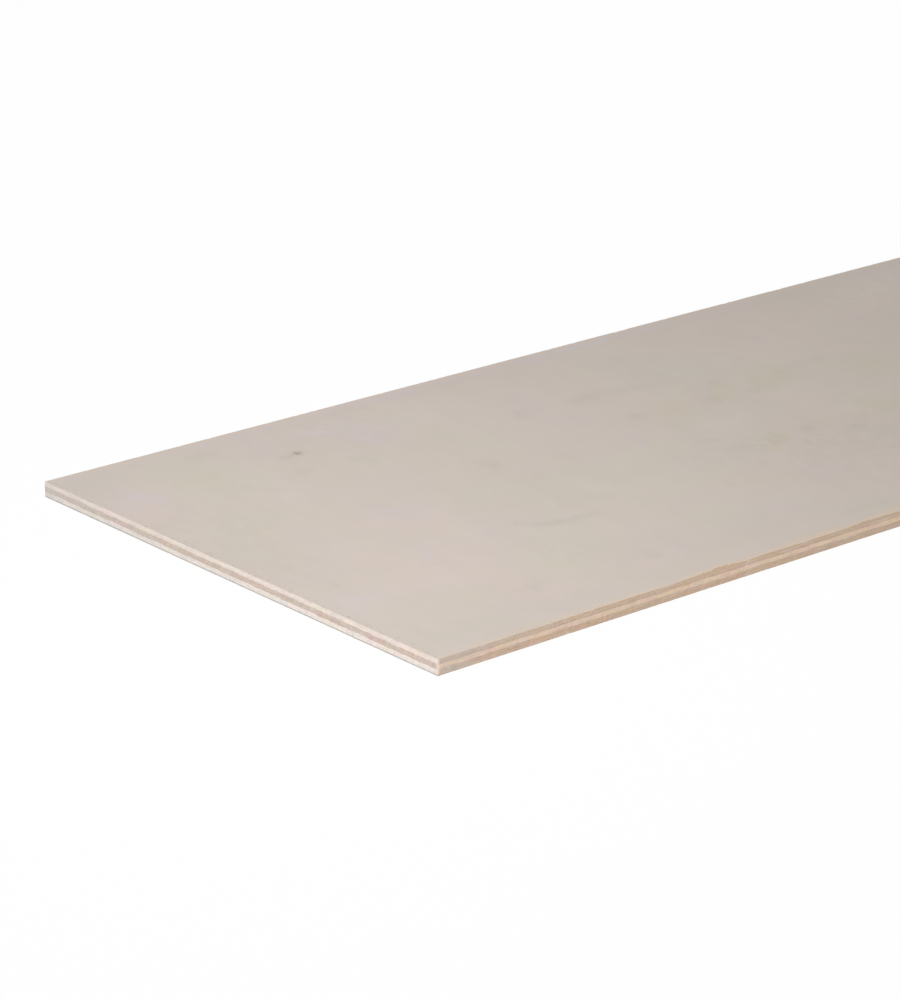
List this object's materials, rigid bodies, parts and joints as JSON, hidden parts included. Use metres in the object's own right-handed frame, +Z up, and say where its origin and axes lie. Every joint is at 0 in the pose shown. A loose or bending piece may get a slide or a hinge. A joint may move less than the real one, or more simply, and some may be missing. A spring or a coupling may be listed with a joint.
{
  "type": "plywood sheet",
  "caption": "Long narrow flat sheet of thin pale plywood with square sawn edges and crossed veneers, used as a panel, shelf, backing or cutting stock.",
  "frame": {"origin": "under the middle of the sheet, on the plane that it rests on", "axes": "+X along the length, +Y across the width, +Z up out of the face veneer"},
  "size_m": [1.2, 0.3, 0.008],
  "materials": {
    "face_veneer": "sanded pale veneer, no coating",
    "core_veneer": "sawn veneer edge, no coating",
    "back_veneer": "sanded pale veneer, no coating"
  },
  "bodies": {
    "root": {"face_veneer": "face_veneer", "core_veneer": "core_veneer", "back_veneer": "back_veneer"}
  },
  "joints": []
}
